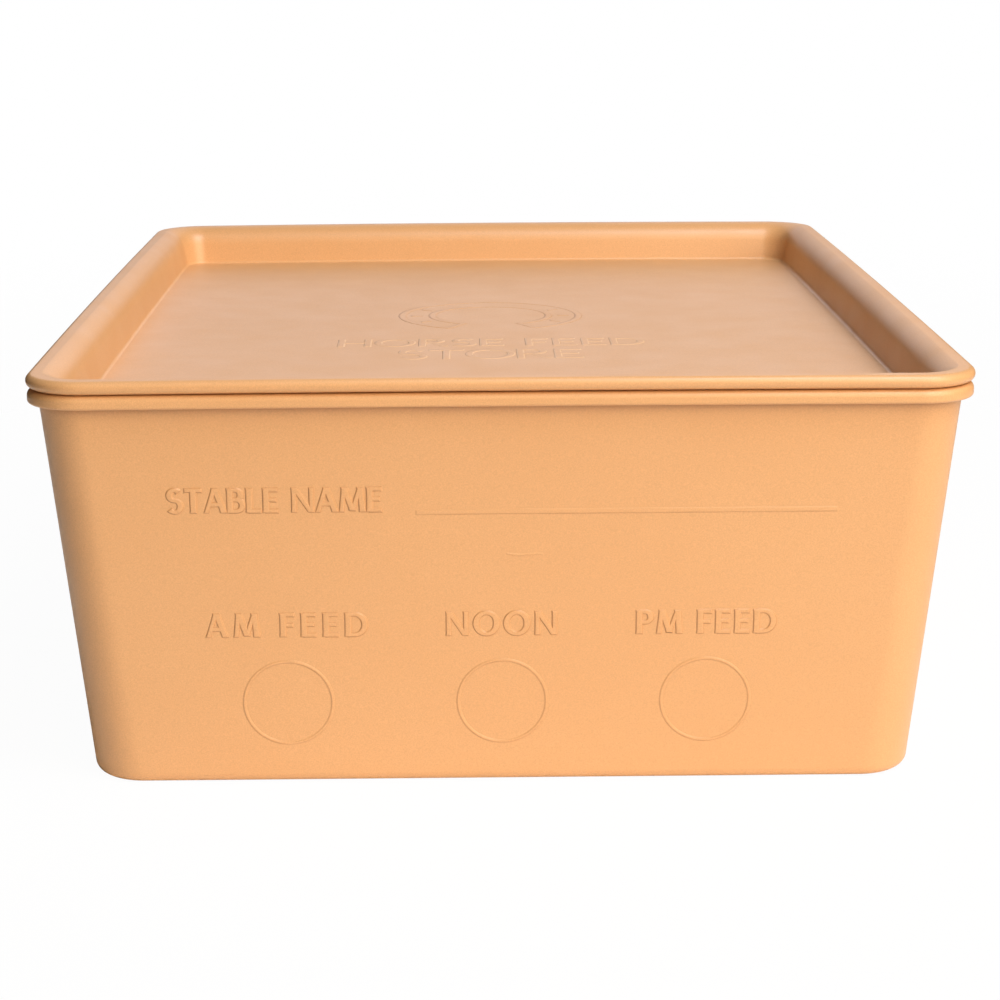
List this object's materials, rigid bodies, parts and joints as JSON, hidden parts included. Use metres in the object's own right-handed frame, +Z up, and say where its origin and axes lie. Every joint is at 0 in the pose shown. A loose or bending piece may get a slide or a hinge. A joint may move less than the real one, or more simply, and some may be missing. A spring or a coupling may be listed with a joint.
{
  "type": "feed box",
  "caption": "Stackable lidded feed box: a tapered rectangular box with a rolled rim, under a lift-off tray lid whose well seats the next box.",
  "frame": {"origin": "centre of the underside of the box's base, on the surface it stands on", "axes": "+Z up; -Y out of the labelled front wall; +X to the right of someone facing that wall"},
  "size_m": [0.301, 0.386, 0.1372],
  "materials": {
    "box_plastic": "fine matte moulded grain",
    "lid_plastic": "fine matte moulded grain"
  },
  "bodies": {
    "box": {"feed_box": "box_plastic"},
    "lid": {"tray_lid": "lid_plastic"}
  },
  "joints": [
    {"name": "lid_lift", "type": "slide", "parent": "box", "child": "lid", "axis": [0, 0, 1], "range_m": [0, 0.08]}
  ]
}
